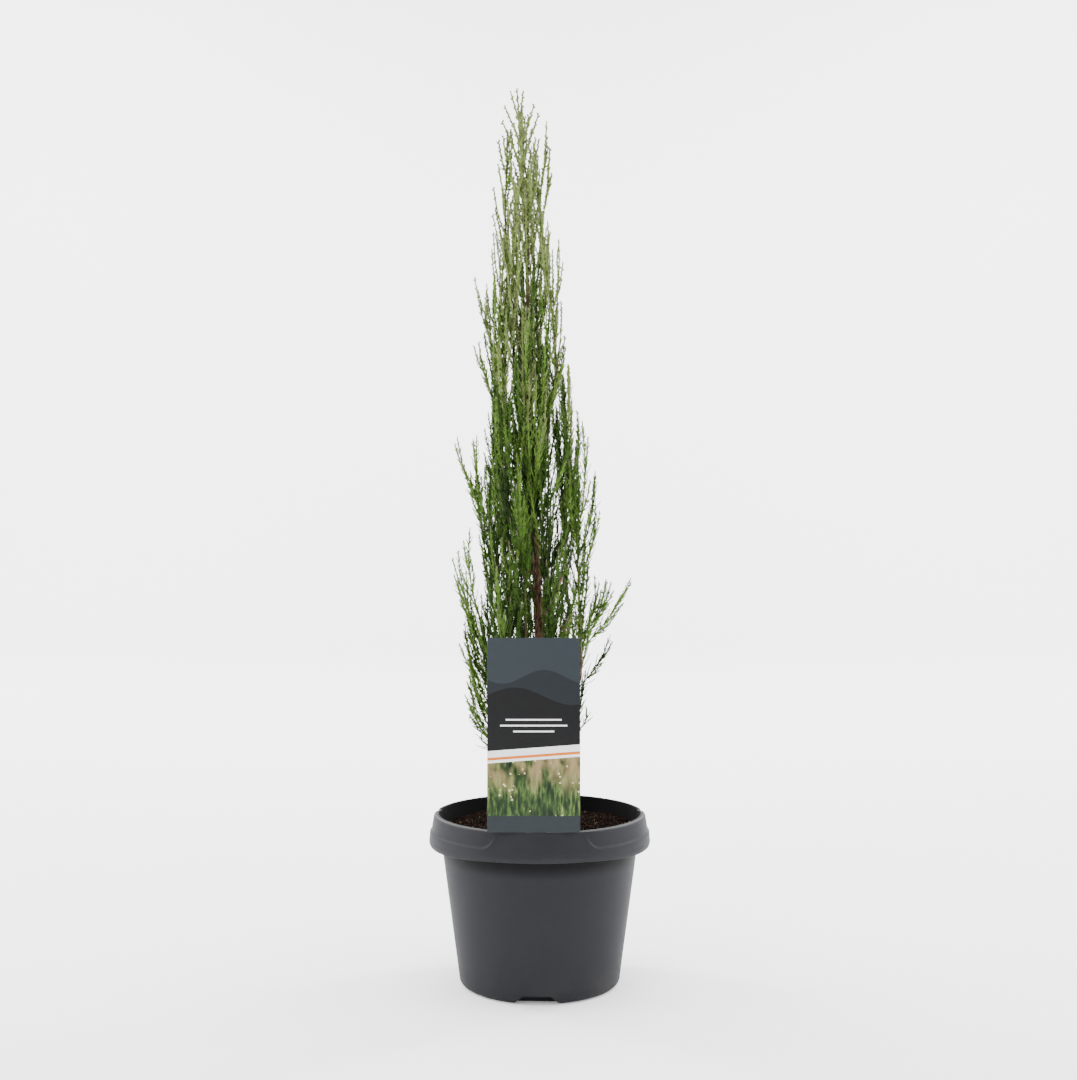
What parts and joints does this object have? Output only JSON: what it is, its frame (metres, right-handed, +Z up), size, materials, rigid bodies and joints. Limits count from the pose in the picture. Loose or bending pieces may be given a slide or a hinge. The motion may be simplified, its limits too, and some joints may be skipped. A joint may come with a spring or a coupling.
{
  "type": "potted juniper tree",
  "caption": "Young columnar juniper with steep whip-like shoots in a round nursery pot of compost, with a plant label standing at the front of the rim.",
  "frame": {"origin": "on the pot's axis, at the level that the pot stands on", "axes": "+Z up along the tree, -Y towards the side that the label stands on, +X to the right seen from there"},
  "size_m": [0.173, 0.173, 0.7],
  "materials": {
    "pot_plastic": "dark grey moulded plastic, satin",
    "compost": "dark moist peat with brown fibres",
    "label_card": "printed plastic card, slate blue-grey",
    "bark": "red-brown flaky bark",
    "foliage": "fresh green scale leaves"
  },
  "bodies": {
    "root": {"bough_low_1": "bark", "bough_low_2": "bark", "bough_low_3": "bark", "bough_low_4": "bark", "bough_low_5": "bark", "bough_low_6": "bark", "bough_low_7": "bark", "bough_low_8": "bark", "bough_lower_1": "bark", "bough_lower_2": "bark", "bough_lower_3": "bark", "bough_lower_4": "bark", "bough_lower_5": "bark", "bough_lower_6": "bark", "foliage_head_1": "foliage", "foliage_head_2": "foliage", "foliage_head_3": "foliage", "foliage_head_4": "foliage", "foliage_leader": "foliage", "foliage_low_1": "foliage", "foliage_low_2": "foliage", "foliage_low_3": "foliage", "foliage_low_4": "foliage", "foliage_low_5": "foliage", "foliage_low_6": "foliage", "foliage_low_7": "foliage", "foliage_low_8": "foliage", "foliage_lower_1": "foliage", "foliage_lower_2": "foliage", "foliage_lower_3": "foliage", "foliage_lower_4": "foliage", "foliage_lower_5": "foliage", "foliage_lower_6": "foliage", "foliage_middle_1": "foliage", "foliage_middle_2": "foliage", "foliage_middle_3": "foliage", "foliage_middle_4": "foliage", "foliage_middle_5": "foliage", "foliage_middle_6": "foliage", "foliage_upper_1": "foliage", "foliage_upper_2": "foliage", "foliage_upper_3": "foliage", "foliage_upper_4": "foliage", "foliage_upper_5": "foliage", "label": "label_card", "pot": "pot_plastic", "soil": "compost", "trunk": "bark"}
  },
  "joints": []
}
